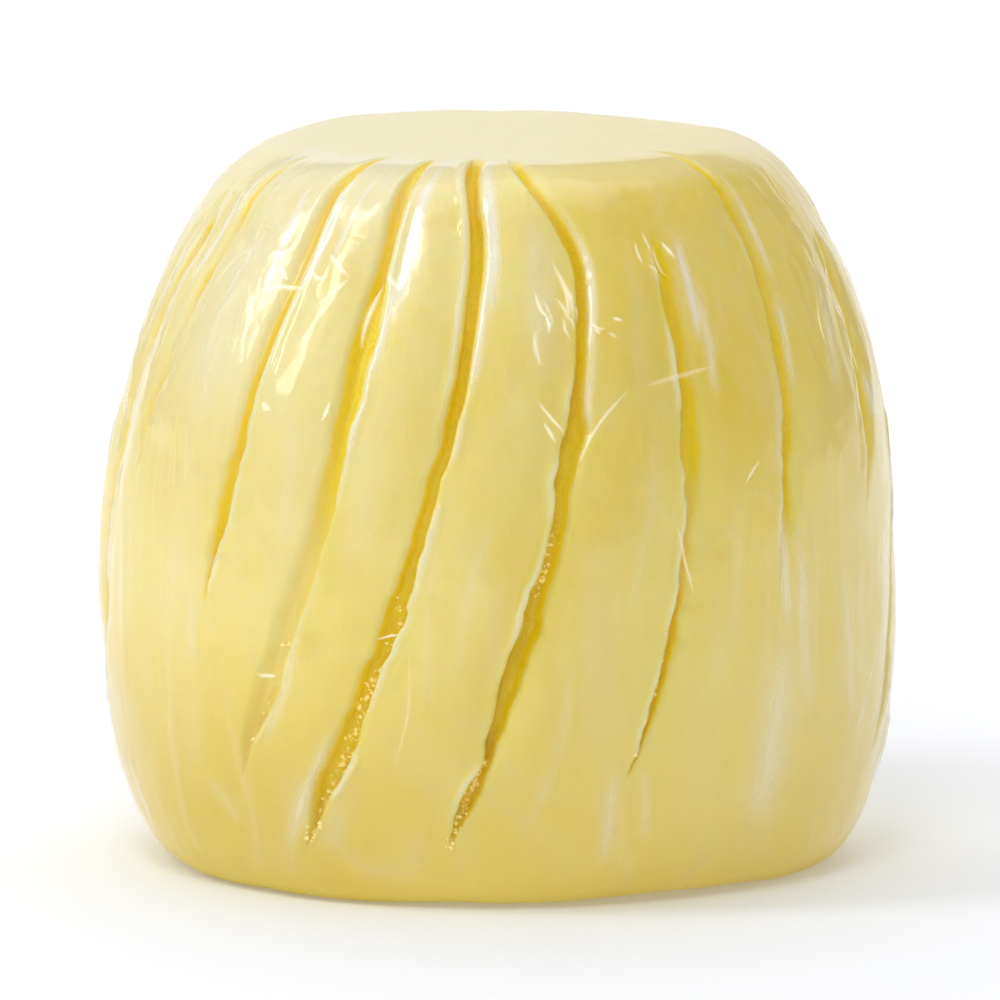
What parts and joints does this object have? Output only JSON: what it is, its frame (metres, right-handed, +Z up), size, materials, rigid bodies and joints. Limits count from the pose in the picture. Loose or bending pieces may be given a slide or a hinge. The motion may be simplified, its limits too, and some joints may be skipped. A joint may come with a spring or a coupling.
{
  "type": "wrapped butter block",
  "caption": "Large hand-shaped block of butter with a flat top and foot and long folded laps round its side, sealed tight in clear film.",
  "frame": {"origin": "middle of the flat foot, on the surface that the block stands on", "axes": "+Z up, -Y the front, where the long laps lean to the left on their way down, +X to the right seen from the front"},
  "size_m": [0.2114, 0.2045, 0.19],
  "materials": {
    "butter": "soft waxy butter, pale yellow on the laps and deeper golden yellow in the grooves",
    "film": "clear glossy cling film, tight, with fine pleats, puckers and a faint milky haze at its creases"
  },
  "bodies": {
    "root": {"wrapped_butter": "butter"}
  },
  "joints": []
}
